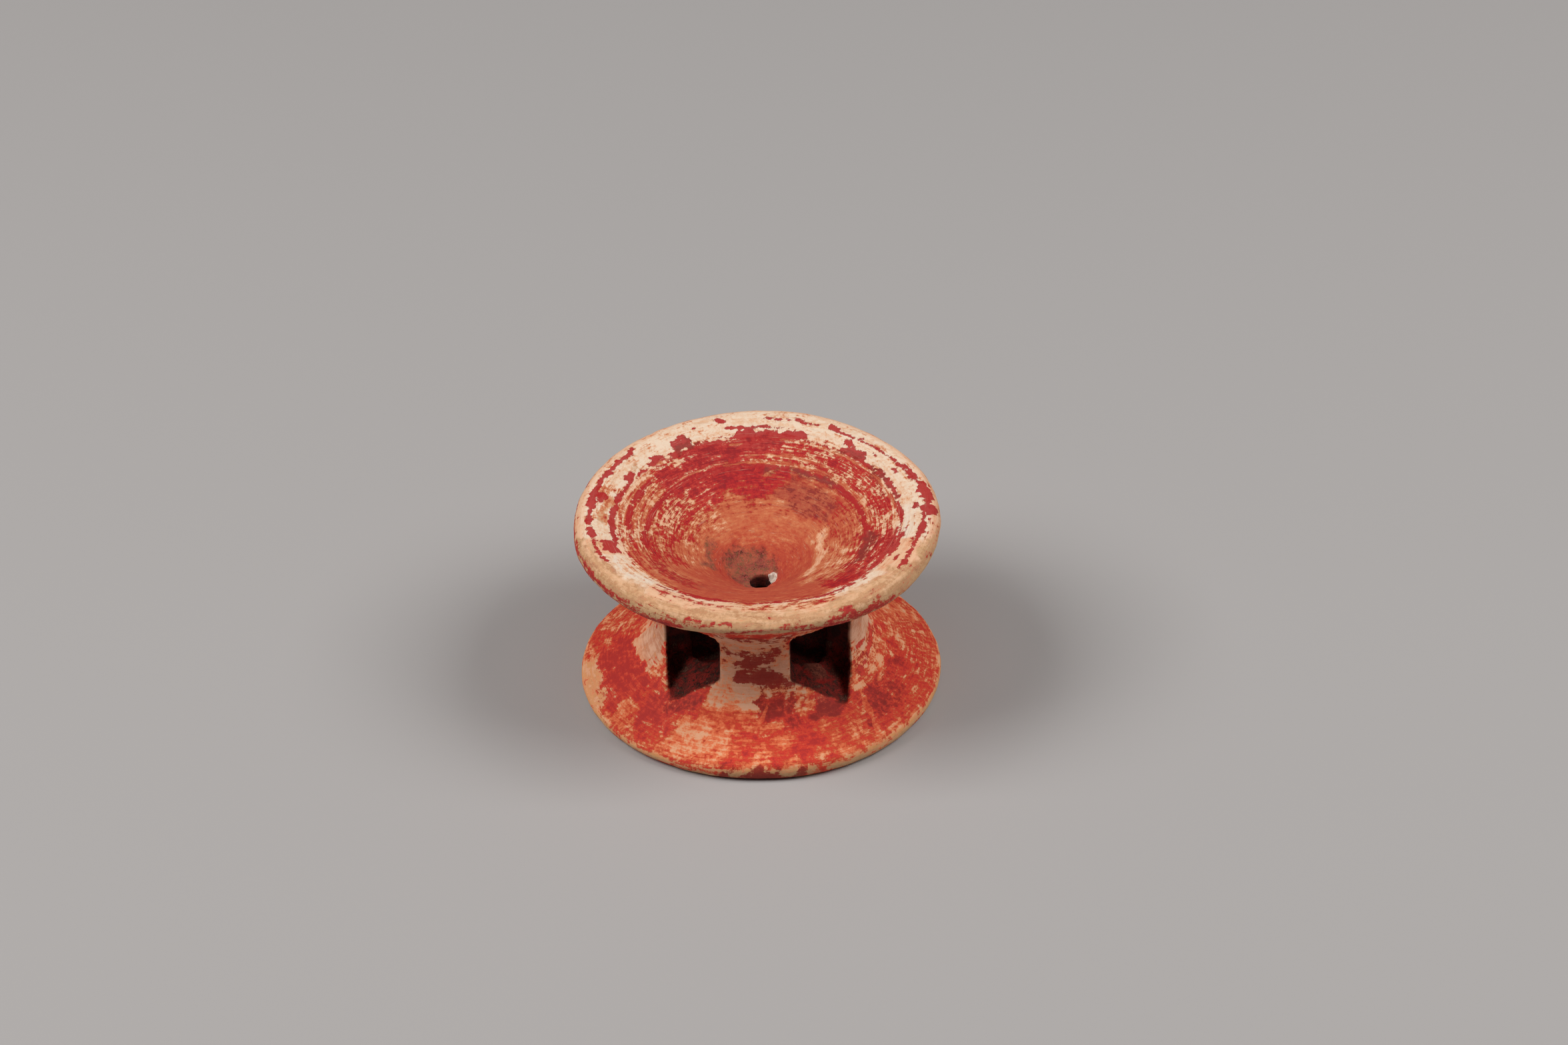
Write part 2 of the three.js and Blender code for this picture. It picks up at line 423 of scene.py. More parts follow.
# The slip: red liquid clay, brushed on while the whorl turned and since then rubbed away in
# flakes. A stroke is (first bearing, last bearing, distance in at each, half its width), and a
# patch also has an amount, from 0 where nothing is left to 1 where it covers. Distances are in
# millimetres along the surface, in from the lip on the dish and up from the edge on the foot.
wander_in = 0.55 * lumps(points, (2.4, 2.4, 2.4), 21.5) + 0.3 * lumps(points, (0.9, 0.9, 0.9), 4.4)
wander_round = 2.4 * lumps(points, (2.6, 2.6, 2.6), 33.1) + 1.1 * lumps(points, (1, 1, 1), 14.2)
loose_bearing = bearing + np.degrees(wander_round / np.maximum(radius, 2))
swell = 1 + 1.1 * lumps(points, (1.5, 1.5, 1.5), 9.3) + 0.7 * lumps(points, (0.6, 0.6, 0.6), 2.8)


def stroke_edge(strokes, inward):
    edge_away = np.full(len(bearing), -2.0)
    for first, last, begin, end, half in strokes:
        turn = (bearing - (first + last) / 2 + 180) % 360 - 180
        share = turn / ((last - first) / 2)
        middle = (begin + end) / 2 + (end - begin) / 2 * np.clip(share, -1, 1)
        width = half * swell * (1 - 0.45 * np.clip(np.abs(share), 0, 1) ** 3)
        beside = np.abs(inward + 0.3 * wander_in - middle) - width
        beyond = np.radians(np.abs(turn) - (last - first) / 2) * radius
        edge_away = np.maximum(edge_away, -np.maximum(beside, beyond))
    return edge_away


def patches(base, spots, inward):
    value = base.copy()
    loose_inward = inward + 2.2 * wander_in
    for first, last, begin, end, amount in spots:
        turn = np.abs((loose_bearing - (first + last) / 2 + 180) % 360 - 180)
        side = np.radians(turn - (last - first) / 2) * radius
        depth = np.abs(loose_inward - (begin + end) / 2) - (end - begin) / 2
        cover = 1 - smooth_step(-0.8, 1.1, np.maximum(side, depth))
        value += (amount - value) * cover
    return value


lip_strokes = [
    (-4, 16, 2.1, 2.1, 0.75), (12, 27, 2.4, 2.6, 0.34), (17, 43, 2.9, 3.3, 0.2),
    (40, 62, 3.35, 3.45, 0.16), (58, 63, 3.15, 3.15, 0.36), (47.5, 49.5, 2.9, 3.2, 0.35),
    (66, 76, 3.4, 3.25, 0.2), (72, 76, 3.05, 3.0, 0.3), (76.5, 79, 3.35, 3.3, 0.16),
    (80, 83, 3.3, 3.3, 0.15), (84, 87, 3.15, 3.1, 0.16), (101, 105, 3.15, 2.95, 0.34),
    (112.5, 114.2, 3.3, 3.4, 0.16), (24, 27.5, 4.1, 4.1, 0.3), (37.5, 39.7, 4.2, 4.1, 0.24),
    (0.5, 4, 3.6, 3.6, 0.36), (77, 83, 4.65, 4.65, 0.14), (84, 95, 4.6, 4.6, 0.17),
    (94, 102, 4.55, 4.45, 0.2), (137.5, 141, 2.3, 2.8, 0.34), (140, 153, 2.75, 2.65, 0.36),
    (150, 181, 2.6, 2.55, 0.44), (165.5, 171.5, 3.6, 3.6, 0.62), (-181, -165, 2.6, 2.7, 0.46),
    (-167, -152, 2.6, 3.0, 0.24), (-166, -157, 4.5, 4.8, 0.9), (-182, -164, 5.4, 5.4, 0.38),
    (150, 182, 0.6, -0.2, 0.5), (-36, -22, 2.5, 2.6, 0.4), (-24, 0, 2.75, 2.6, 0.28),
    (-32, -28, 3.9, 3.9, 0.2), (-3, 1, 1.5, 1.4, 0.5),
]
dish_strokes = [
    (10, 31, 5.6, 5.6, 0.36), (28, 41, 5.8, 6.0, 0.24), (40, 53, 5.65, 5.6, 0.72),
    (42, 46, 4.9, 4.9, 0.3), (49, 53.5, 4.55, 4.6, 0.55), (56, 61.5, 6.2, 6.15, 0.22),
    (66, 73, 6.2, 5.6, 0.4), (69, 80, 5.45, 5.8, 0.72), (77, 103, 5.95, 5.85, 0.8),
    (101, 120, 6.3, 6.2, 0.4), (117, 125.5, 5.2, 5.4, 0.95), (118, 122, 4.2, 4.3, 0.35),
    (120, 133, 6.1, 6.25, 0.3), (131, 141, 5.75, 5.8, 0.6), (138, 150, 5.95, 5.9, 0.36),
    (147.5, 154, 5.2, 5.3, 0.75), (152, 182, 5.75, 5.4, 0.38), (-8, 9, 5.5, 5.65, 0.3),
    (146, 182, 7.4, 7.3, 0.36), (72, 130, 10.3, 10.2, 0.5), (128, 150, 10.2, 10.1, 0.34),
    (150, 182, 10.0, 9.9, 0.34), (-2, 76, 10.35, 10.3, 0.42), (-36, 2, 9.4, 10.2, 0.5),
    (-40, -14, 5.9, 6.2, 0.6), (-30, -13, 5.0, 5.0, 0.4), (80, 104, 6.9, 6.9, 0.6),
    (-132, -108, 5.0, 5.7, 0.24), (-120, -92, 6.0, 6.1, 0.34), (-96, -70, 5.9, 5.5, 0.2),
    (-72, -50, 5.1, 4.8, 0.3), (-184, -162, 9.6, 9.2, 0.34), (-184, -166, 7.5, 7.6, 0.3),
]
bare_strokes = [
    (0, 62, 9.65, 9.55, 0.24), (54, 108, 9.75, 9.65, 0.2), (48, 96, 8.75, 8.6, 0.17),
    (8, 62, 11.2, 11.2, 0.24), (52, 74, 12.0, 12.05, 0.2), (128, 182, 6.2, 6.15, 0.2),
    (140, 182, 6.85, 6.8, 0.17), (150, 182, 8.35, 8.3, 0.24), (144, 182, 9.25, 9.2, 0.24),
    (96, 102, 7.0, 6.9, 0.12), (30, 80, 6.45, 6.35, 0.16), (-15, 30, 6.3, 6.3, 0.2),
    (104, 140, 9.4, 9.5, 0.14), (-176, -150, 7.0, 6.6, 0.18), (-174, -148, 8.4, 7.8, 0.22),
    (50, 112, 17.1, 16.9, 0.16), (-34, 24, 16.3, 16.6, 0.4), (-28, 16, 14.6, 15.0, 0.22),
    (4, 52, 13.1, 13.4, 0.12), (20, 70, 14.4, 14.2, 0.1), (-150, -120, 6.9, 7.3, 0.24),
]

worn_base = np.interp(
    from_lip, [-1.6, 0, 1.4, 5.0, 5.8, 6.6, 10, 11, 14, 17, 18, 24],
    [0.3, 0.2, -0.1, -0.12, 0.34, 0.48, 0.46, 0.42, 0.3, 0.14, 0.1, 0.1])
dish_patches = [
    (60, 104, 6.2, 9.6, 0.56), (76, 124, 6.2, 8.2, 0.84), (92, 150, 7.0, 11.0, 0.82),
    (76, 132, 10.6, 13.8, 0.78), (150, 182, 6.2, 9.8, 0.44),
    (0, 60, 6.2, 9.4, 0.58), (-56, -10, 4.8, 8.8, 0.76),
    (-40, -5, 8.8, 11.4, 0.66), (-150, -60, 6.5, 18.0, 0.16), (134, 182, 10.8, 15.6, 0.52),
    (-180, -152, 5.6, 13.5, 0.52), (-152, -122, 8.0, 10.6, 0.6), (-60, 0, 11.4, 15.6, 0.3),
    (-60, -30, 1.4, 2.8, 0.3), (-20, 16, 1.4, 3.2, 0.36), (-12, 60, 11.0, 15.5, 0.4),
    (-128, -98, 0.2, 1.6, 0.62), (-84, -48, 0.2, 1.4, 0.6), (-150, -118, -1.8, 0.3, 0.64),
    (-80, -42, -1.8, 0.1, 0.68), (-179, -150, -1.8, 0.8, 0.7), (-112, -84, -1.8, 0.2, 0.3),
    (-30, 40, -1.6, 0.4, 0.34), (-128, -55, 3.3, 4.6, 0.56), (156, 182, -1.2, 1.2, 0.42),
    (160, 182, 3.2, 5.0, 0.26), (-150, -40, 1.5, 3.2, 0.14),
]

slip_edge = np.maximum(stroke_edge(lip_strokes, from_lip), stroke_edge(dish_strokes, from_lip))
bare_edge = stroke_edge(bare_strokes, from_lip)
slip_worn = patches(worn_base, dish_patches, from_lip)

foot_base = np.interp(
    from_foot, [-3, -0.6, 0.3, 0.9, 2, 7, 9, 12, 20], [0.5, 0.4, 0.2, 0.4, 0.6, 0.6, 0.54, 0.4, 0.45])
foot_patches = [
    (-184, -157, 0.5, 3.2, 0.16), (-158, -127, 0.8, 3.4, 0.62), (-186, -128, 3.4, 8.4, 0.98),
    (-151, -142, 1.8, 4.4, 0.36), (-149, -143, 5.4, 6.6, 0.46), (-127, -99, 0.8, 2.6, 0.42),
    (-126, -99.5, 2.6, 6.3, 0.08), (-125, -98, 6.3, 8.2, 0.5), (-99, -88, 2.0, 3.5, 0.62),
    (-99, -86, 3.6, 4.6, 0.3), (-99, -90, 4.6, 6.2, 0.8), (-90, -76, 3.4, 5.4, 0.46),
    (-76, -66, 0.8, 5.6, 0.8), (-84, -72, 5.4, 7.2, 0.9), (-96, -85, 6.2, 7.4, 0.26),
    (-92, -71, 7.4, 10.2, 0.95), (-112, -90, 8.5, 11.4, 0.05), (-90, -72, 10.3, 12.0, 0.36),
    (-114, -72, 12, 20, 0.16), (-102, -76, 11.6, 13.4, 0.95), (-103, -90, 14.4, 16.2, 0.9),
    (-88, -80, 16.6, 18.0, 0.7), (-114, -72, 19.4, 22.0, 0.75), (-72, -64, 6.4, 11.0, 0.34),
    (-66, -50, 1.2, 6.6, 0.5), (-64, -50, 6.6, 9.4, 0.95), (-139, -119, 6.6, 9.6, 0.95),
    (-46, -24, 2.4, 7.4, 0.84), (-30, -4, 1.4, 4.6, 0.64), (-24, -4, 4.6, 7.6, 0.78),
    (-38, -10, 7.4, 9.4, 0.38), (-28, 8, 11.2, 16, 0.14), (-182, -157, 8.4, 13.5, -0.1),
    (-156, -142, 8.4, 12.0, 0.5), (-104, -80, -2.6, -0.2, 0.92), (-134, -106, -2.6, -0.5, 0.45),
    (60, 120, 1.6, 6.5, 0.7), (20, 52, 3.0, 8.0, 0.3), (124, 150, 1.2, 5.0, 0.34),
]
foot_strokes = [
    (-33, 4, 9.3, 11.0, 0.34), (-35, -31, 8.9, 9.3, 0.8), (-30, -12, 11.6, 11.2, 0.2),
    (-175, -171, 12.2, 12.8, 0.5), (-70, -60, 10.6, 11.2, 0.2),
]
foot_bare_strokes = [
    (-50, -35, 0.8, 11.5, 1.1), (-70, -65, 7.6, 10.6, 0.5), (-62, -48, 6.3, 5.3, 0.16),
    (-150, -144, 1.8, 4.4, 0.5), (-30, -14, 6.6, 8.8, 0.4), (-92, -86, 6.4, 9.8, 0.5),
]
foot_worn = patches(foot_base, foot_patches, from_foot)
on_dish = smooth_step(-2.6, -1.6, from_lip)
on_foot = from_lip < -2.4
slip_edge = np.where(on_foot, stroke_edge(foot_strokes, from_foot), slip_edge)
bare_edge = np.where(on_foot, stroke_edge(foot_bare_strokes, from_foot), bare_edge)
slip_worn = foot_worn + (slip_worn - foot_worn) * on_dish

wash_base = np.interp(
    from_lip, [-2, 0, 1.4, 5, 6.4, 9, 13, 17.4, 18.0, 24],
    [0.36, 0.2, 0.14, 0.08, 0.36, 0.42, 0.56, 0.5, 0.7, 0.8])
wash_patches = [
    (-150, -50, 6.0, 18.0, 0.66), (0, 60, 11.5, 16.0, 0.62), (110, 182, 10.8, 15.0, 0.4),
    (-165, -130, 6.5, 12.0, 0.5), (60, 110, 11, 14.0, 0.72), (60, 152, 14.4, 17.9, 0.5),
    (-44, 24, 15.6, 17.2, 0.24), (30, 70, 16.4, 17.8, 0.46), (134, 150, 14.5, 15.6, 0.2),
    (-168, -20, 0.4, 3.6, 0.08), (-100, -60, 3.4, 4.6, 0.44), (40, 130, 17.9, 20.6, 0.54),
    (160, 182, 3.2, 4.8, 0.36), (-60, -10, 11.6, 14.2, 0.4), (-40, 40, 18, 22, 0.66),
    (125, 182, 14, 17.5, 0.5),
]
wash = patches(wash_base, wash_patches, from_lip)
foot_wash = np.interp(from_foot, [-3, 0.4, 1.2, 8, 12, 16], [0.3, 0.2, 0.56, 0.56, 0.3, 0.4])
foot_wash_patches = [
    (-184, -157, 0.4, 3.2, 0.2), (-126, -99.5, 2.8, 6.3, 0.34), (-112, -90, 8.5, 11.4, 0.2),
    (-125, -98, 6.3, 8.2, 0.74), (-182, -157, 8.4, 13.5, -0.1), (-28, 8, 11.2, 16, 0.0),
    (-114, -72, 12, 20, 0.2), (-100, -60, 1.2, 6, 0.66), (-38, -10, 7.4, 9.4, 0.34),
]
foot_wash = patches(foot_wash, foot_wash_patches, from_foot)
wash = foot_wash + (wash - foot_wash) * on_dish

pale_base = np.interp(from_lip, [-2.6, 0, 1.2, 2.4, 5, 6, 24], [0, 0, 0.3, 0.8, 0.9, 0.5, 0.1])
pale_patches = [
    (-165, -15, 0.2, 5.0, 0.3), (-156, -131, 3.5, 4.7, 1.3), (-60, -40, 3.7, 4.5, 1.1),
    (-14, 2, 3.6, 5.2, 1.2), (-126, -121, 5.8, 6.6, 1.1),
]
pale = patches(pale_base, pale_patches, from_lip)
foot_pale = np.interp(from_foot, [-3, 1, 8, 10, 16], [0, 0.1, 0.25, 0.8, 0.8])
foot_pale_patches = [(-126, -99.5, 2.8, 6.3, 0.4), (-112, -89, 8.4, 11.6, 0.7)]
foot_pale = patches(foot_pale, foot_pale_patches, from_foot)
pale = foot_pale + (pale - foot_pale) * on_dish

soil = np.interp(from_lip, [-3, -0.5, 0.6, 1.4, 17, 20, 24], [0.5, 0.42, 0.3, 0.05, -0.1, 0, 0])
soil_patches = [
    (168, 184, 3.6, 5.0, 0.6), (-168, -14, -1.8, 1.4, 0.6), (-160, -30, 1.2, 3.2, 0.42),
    (142, 149, 5.1, 5.5, 0.5),
]
soil = patches(soil, soil_patches, from_lip)
foot_soil = np.interp(from_foot, [-3, -0.6, 0.5, 1.2, 16], [0.6, 0.6, 0.35, 0.05, 0.05])
foot_soil = patches(foot_soil, [(-184, -157, 0.4, 3.2, 0.22)], from_foot)
soil = foot_soil + (soil - foot_soil) * on_dish

dark_patches = [
    (44, 76, 9.9, 10.9, 0.8), (10, 54, 5.2, 6.2, 0.7), (116, 124, 4.6, 5.8, 0.8),
    (-36, -6, 8.6, 10.4, 0.7), (30, 74, 11.8, 15.2, 0.6), (131, 154, 5.0, 6.2, 0.4),
    (60, 200, 21, 24.0, 0.4), (-152, -122, 8.0, 10.6, 0.4), (-20, 10, 3.2, 4.2, 0.5),
]
dark = patches(np.zeros(len(bearing)), dark_patches, from_lip)
foot_dark_patches = [
    (-104, -80, -2.6, 0.2, 1), (-46, -24, 2.4, 7.4, 0.5), (-92, -71, 7.4, 10.2, 0.6),
    (-156, -127, 5.0, 8.5, 0.25), (-114, -72, 10.8, 20, 0.9), (-84, -72, 5.4, 7.2, 0.5),
    (-24, -4, 4.6, 7.6, 0.4), (-34, 6, 9.0, 11.4, 0.5), (-64, -50, 6.6, 9.4, 0.7),
    (-139, -119, 6.6, 9.6, 0.6), (-16, -11, 11.0, 16.0, 0.3), (60, 120, 3.5, 6.5, 0.4),
]
foot_dark = patches(np.zeros(len(bearing)), foot_dark_patches, from_foot)
dark = foot_dark + (dark - foot_dark) * on_dish

calm = np.interp(from_lip, [10, 13, 15, 18, 20], [0, 0.35, 0.75, 0.8, 0.5])
calm = patches(calm, [(-158, -42, 6.0, 20.0, 0.75), (120, 190, 10.6, 16.4, 0.05)], from_lip)
calm = calm * on_dish

flake_away = np.linalg.norm((points - flake_place) / flake_size, axis=1)
chip = (1 - smooth_step(1.0, 1.3, flake_away)) * smooth_step(0.9, 1.3, points[:, 0])
crumbs_away = np.hypot(points[:, 0] + 1.0, (points[:, 1] - 1.2) / 0.9)
crumbs = 1 - smooth_step(1.6, 4.6, crumbs_away)
crescent = patches(0 * calm, [(152, 196, 17.7, 18.9, 0.8)], from_lip)
crumbs = (from_lip > 15) * np.maximum(crumbs, crescent)


kept_values = dict(
    slip_edge=slip_edge, bare_edge=bare_edge, slip_worn=slip_worn, wash=wash, pale=pale, soil=soil,
    dark=dark, calm=calm, chip=chip, crumbs=crumbs, floor=window_floor, lump=np.maximum(lump, 0),
    crack=crack, cut=is_cut, dish=on_dish)
for name, values in kept_values.items():
    layer = whorl.data.attributes.new(name, "FLOAT", "POINT")
    layer.data.foreach_set("value", np.asarray(values, float))
rings = whorl.data.attributes.new("rings", "FLOAT_VECTOR", "POINT")
rings.data.foreach_set("vector", ring_coords.ravel())


# The finish: matt fired clay with its slip. From below upwards it is bare clay, a thin wash,
# the red slip in flakes, then dust and soil in the low places. Painted shadow lies among the
# crumbs, and painted shade darkens the cut walls inside the windows.
clay = bpy.data.materials.new("slipped_clay")
clay.use_nodes = True
tree = clay.node_tree
tree.nodes.clear()


def plug(source, socket):
    if isinstance(source, bpy.types.NodeSocket):
        tree.links.new(source, socket)
    else:
        socket.default_value = source


def made(kind, **settings):
    node = tree.nodes.new("ShaderNode" + kind)
    for name, value in settings.items():
        setattr(node, name, value)
    return node


def field(name):
    return made("Attribute", attribute_name=name).outputs["Fac"]


def sum_up(how, first, second):
    node = made("Math", operation=how)
    plug(first, node.inputs[0])
    plug(second, node.inputs[1])
    return node.outputs[0]


def times(first, second):
    return sum_up("MULTIPLY", first, second)


def plus(first, second):
    return sum_up("ADD", first, second)


def less(first, second):
    return sum_up("SUBTRACT", first, second)


def most(first, second):
    return sum_up("MAXIMUM", first, second)


def rising(value, low, high):
    node = made("MapRange", interpolation_type="SMOOTHSTEP")
    plug(value, node.inputs["Value"])
    plug(low, node.inputs["From Min"])
    plug(high, node.inputs["From Max"])
    return node.outputs["Result"]


def stretched(vector, sizes, shift=0.0):
    node = made("Mapping")
    plug(vector, node.inputs["Vector"])
    node.inputs["Scale"].default_value = [1 / size for size in sizes]
    node.inputs["Location"].default_value = (shift, shift, shift)
    return node.outputs["Vector"]


def cloudy(vector, detail=4.0, rough=0.6, spread=2.0, warp=0.0):
    node = made("TexNoise")
    plug(vector, node.inputs["Vector"])
    node.inputs["Scale"].default_value = 1
    node.inputs["Detail"].default_value = detail
    node.inputs["Roughness"].default_value = rough
    node.inputs["Distortion"].default_value = warp
    return times(less(node.outputs["Fac"], 0.5), spread)


def blend(below, above, cover):
    node = made("Mix", data_type="RGBA")
    plug(cover, node.inputs[0])
    plug(below, node.inputs[6])
    plug(above, node.inputs[7])
    return node.outputs[2]


def tint(red, green, blue):
    def linear(value):
        value /= 255
        return value / 12.92 if value < 0.04045 else ((value + 0.055) / 1.055) ** 2.4
    return (linear(red), linear(green), linear(blue), 1)


ring_vector = made("Attribute", attribute_name="rings").outputs["Vector"]
place_vector = stretched(made("TexCoord").outputs["Object"], (millimetre,) * 3)

brushed = cloudy(stretched(ring_vector, (0.2, 1.8, 1.8)), 4, 0.6, 3)
drawn = cloudy(stretched(ring_vector, (0.42, 3.2, 3.2), 3), 5, 0.64, 3.2, 0.4)
smear = cloudy(stretched(ring_vector, (0.8, 3.4, 3.4), 8), 5, 0.64, 3, 0.3)
combed = cloudy(stretched(ring_vector, (0.34, 2.4, 2.4), 6), 5, 0.64, 3, 0.3)
fleck = cloudy(stretched(place_vector, (0.55, 0.55, 0.55), 4), 6, 0.7, 3.4, 0.2)
mid = cloudy(stretched(place_vector, (1.7, 1.7, 1.7), 6), 7, 0.68, 3.3, 0.4)
blotch = cloudy(stretched(place_vector, (4.2, 4.2, 4.2), 9), 5, 0.55, 2.6, 0.3)
grains = cloudy(stretched(place_vector, (0.2, 0.2, 0.2), 2), 3, 0.6, 2.4)
scratch = cloudy(stretched(ring_vector, (0.13, 3.0, 3.0), 12), 3, 0.6, 3, 0.3)

dish = field("dish")
cut = field("cut")
pale_field = field("pale")
soil_field = field("soil")


def dish_or_foot(on_the_dish, on_the_foot):
    node = made("Mix", data_type="FLOAT")
    plug(dish, node.inputs[0])
    plug(on_the_foot, node.inputs[2])
    plug(on_the_dish, node.inputs[3])
    return node.outputs[0]


def ramp(value, *stops):
    node = made("ValToRGB")
    plug(value, node.inputs[0])
    band = node.color_ramp
    while len(band.elements) < len(stops):
        band.elements.new(0.5)
    for element, (place, colour) in zip(band.elements, stops):
        element.position = place
        element.color = colour
    return node.outputs["Color"]


mottle_dish = plus(
    plus(times(drawn, 0.34), times(mid, 0.28)), plus(times(fleck, 0.34), times(brushed, 0.22)))
mottle_foot = plus(times(mid, 0.5), plus(times(fleck, 0.32), times(combed, 0.34)))
mottle_lip = plus(times(smear, 0.5), plus(times(mid, 0.25), times(fleck, 0.3)))
lip_share = rising(soil_field, 0.3, 0.5)
mottle = dish_or_foot(mottle_dish, mottle_foot)
mottle = plus(times(mottle, less(1.0, lip_share)), times(mottle_lip, lip_share))

tan = blend(tint(214, 168, 124), tint(184, 128, 86), rising(plus(smear, fleck), -0.4, 0.6))
tan = blend(tan, tint(154, 86, 58), times(rising(plus(mid, smear), 0.1, 0.8), 0.8))
peach = blend(tint(240, 190, 152), tint(232, 146, 100), rising(plus(mid, drawn), -0.4, 0.7))
salmon = blend(tint(240, 178, 138), tint(232, 138, 92), rising(plus(mid, combed), -0.5, 0.6))
cream = blend(tint(242, 216, 190), tint(234, 188, 152), rising(plus(smear, fleck), -0.4, 0.7))
rose = blend(tint(230, 180, 148), tint(206, 140, 108), rising(plus(mid, combed), -0.5, 0.6))
low_clay = blend(salmon, peach, dish)
high_clay = blend(rose, cream, dish)
bare_clay = blend(low_clay, high_clay, rising(plus(pale_field, times(mottle, 0.5)), 0.15, 0.75))
chalk = rising(plus(pale_field, times(mottle, 0.6)), 0.98, 1.3)
bare_clay = blend(bare_clay, tint(238, 222, 204), times(chalk, 0.85))
ochre = blend(tint(232, 158, 98), tint(214, 146, 96), rising(plus(mid, fleck), -0.4, 0.5))
earthy = blend(ochre, tan, plus(dish, rising(soil_field, 0.3, 0.5)))
soiled = rising(plus(soil_field, times(mottle, 0.4)), dish_or_foot(0.2, 0.08), dish_or_foot(0.5, 0.24))
bare_clay = blend(bare_clay, earthy, soiled)

calm_field = field("calm")
lively = less(0.95, times(calm_field, 0.62))
washed = plus(field("wash"), times(mottle, lively))
wash_dish = ramp(
    washed, (0.2, tint(236, 182, 142)), (0.4, tint(210, 124, 82)), (0.62, tint(194, 86, 58)),
    (0.9, tint(178, 60, 48)))
wash_foot = ramp(
    washed, (0.2, tint(246, 184, 138)), (0.42, tint(238, 130, 84)), (0.66, tint(226, 92, 58)),
    (0.95, tint(196, 64, 48)))
wash_colour = blend(wash_foot, wash_dish, dish)
colour = blend(bare_clay, wash_colour, rising(washed, 0.1, 0.4))

edge_jag = plus(times(fleck, 0.34), times(mid, 0.14))
stroke = rising(plus(field("slip_edge"), edge_jag), -0.04, 0.06)
thickness = plus(field("slip_worn"), times(mottle, 1.2))
worn_in = rising(thickness, dish_or_foot(0.42, 0.4), dish_or_foot(0.6, 0.62))
bared = rising(plus(field("bare_edge"), edge_jag), -0.04, 0.1)
slip = times(most(stroke, worn_in), less(1.0, times(bared, 0.8)))

thick = plus(most(thickness, times(stroke, 0.8)), plus(times(blotch, 0.12), times(fleck, 0.1)))
crimson = ramp(
    thick, (0.46, tint(212, 76, 52)), (0.66, tint(190, 38, 38)), (0.9, tint(170, 24, 34)),
    (1, tint(150, 24, 34)))
brick = ramp(
    thick, (0.42, tint(236, 104, 64)), (0.62, tint(222, 68, 46)), (0.85, tint(208, 54, 44)),
    (1, tint(188, 48, 44)))
maroon = rising(plus(field("dark"), times(plus(fleck, mid), 0.3)), 0.35, 0.75)
slip_colour = blend(blend(brick, crimson, dish), tint(122, 34, 30), times(maroon, 0.7))
colour = blend(colour, slip_colour, times(slip, 0.94))
dusk = times(rising(field("dark"), 0.2, 0.8), rising(field("wash"), 0.3, 0.5))
colour = blend(colour, tint(150, 72, 62), times(times(dusk, dish), 0.45))

scored = times(rising(scratch, 0.36, 0.62), dish)
colour = blend(colour, tint(238, 194, 160), times(scored, 0.35))

dirt = rising(plus(soil_field, times(plus(fleck, grains), 0.4)), 0.7, 1.1)
colour = blend(colour, tint(112, 74, 48), times(dirt, 0.55))

speckle = plus(fleck, grains)
crumb_crust_and_shadow = blend(tint(186, 104, 78), tint(160, 78, 70), rising(mid, -0.4, 0.4))
crumb_crust_and_shadow = blend(crumb_crust_and_shadow, tint(132, 102, 68), times(rising(speckle, 0.0, 0.3), 0.8))
# Painted shadow: the darkest brown among the crumbs stands for the shadows between them.
crumb_crust_and_shadow = blend(crumb_crust_and_shadow, tint(78, 48, 36), rising(plus(mid, grains), 0.28, 0.6))
crumb_crust_and_shadow = blend(crumb_crust_and_shadow, tint(206, 184, 150), rising(grains, 0.42, 0.5))
crumb_cover = rising(plus(field("crumbs"), times(plus(fleck, mid), 0.3)), 0.15, 0.85)
colour = blend(colour, crumb_crust_and_shadow, times(crumb_cover, 0.9))
chipped = blend(tint(242, 228, 212), tint(206, 160, 130), rising(speckle, 0, 0.7))

floor_share = field("floor")
# Painted shade: the cut walls inside the windows get a near-black red, standing for the shade that
# falls there under the dish, over the clay's own red. The floors, the lump and the crack laid on after
# keep their own colours.
cut_colour_and_painted_shade = blend(tint(92, 28, 20), tint(46, 20, 14), rising(plus(fleck, mid), -0.5, 0.5))
floor_clay = blend(tint(150, 42, 34), tint(96, 38, 28), rising(mid, -0.3, 0.3))
floor_clay = blend(floor_clay, tint(52, 34, 26), rising(speckle, 0.0, 0.45))
floor_clay = blend(floor_clay, tint(132, 104, 82), times(rising(plus(grains, mid), 0.4, 0.7), 0.8))
cut_colour_and_painted_shade = blend(cut_colour_and_painted_shade, floor_clay, floor_share)
lump_clay = blend(tint(150, 82, 62), tint(112, 48, 36), rising(speckle, -0.3, 0.4))
cut_colour_and_painted_shade = blend(cut_colour_and_painted_shade, lump_clay, times(field("lump"), 0.9))
cut_colour_and_painted_shade = blend(cut_colour_and_painted_shade, tint(168, 36, 28), field("crack"))
# Cut surfaces take this colour, with its painted shade on the window walls.
colour = blend(colour, cut_colour_and_painted_shade, cut)
colour = blend(colour, chipped, rising(plus(field("chip"), times(fleck, 0.4)), 0.35, 0.6))

shader = made("BsdfPrincipled")
plug(colour, shader.inputs["Base Color"])
shader.inputs["Specular IOR Level"].default_value = 0.25
dull = less(0.86, times(slip, 0.16))
plug(plus(dull, times(grains, 0.05)), shader.inputs["Roughness"])

relief = plus(times(slip, 0.03), times(grains, 0.012))
relief = plus(relief, times(brushed, 0.014))
relief = plus(relief, times(fleck, 0.016))
relief = less(relief, times(scored, 0.02))
rubble = most(times(floor_share, cut), crumb_cover)
relief = plus(relief, times(rubble, plus(times(fleck, 0.1), times(grains, 0.05))))
bump = made("Bump")
bump.inputs["Strength"].default_value = 1
bump.inputs["Distance"].default_value = millimetre
plug(relief, bump.inputs["Height"])
plug(bump.outputs["Normal"], shader.inputs["Normal"])

output = made("OutputMaterial")
tree.links.new(shader.outputs["BSDF"], output.inputs["Surface"])
whorl.data.materials.clear()
whorl.data.materials.append(clay)

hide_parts("whorl")
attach(whorl, "root")


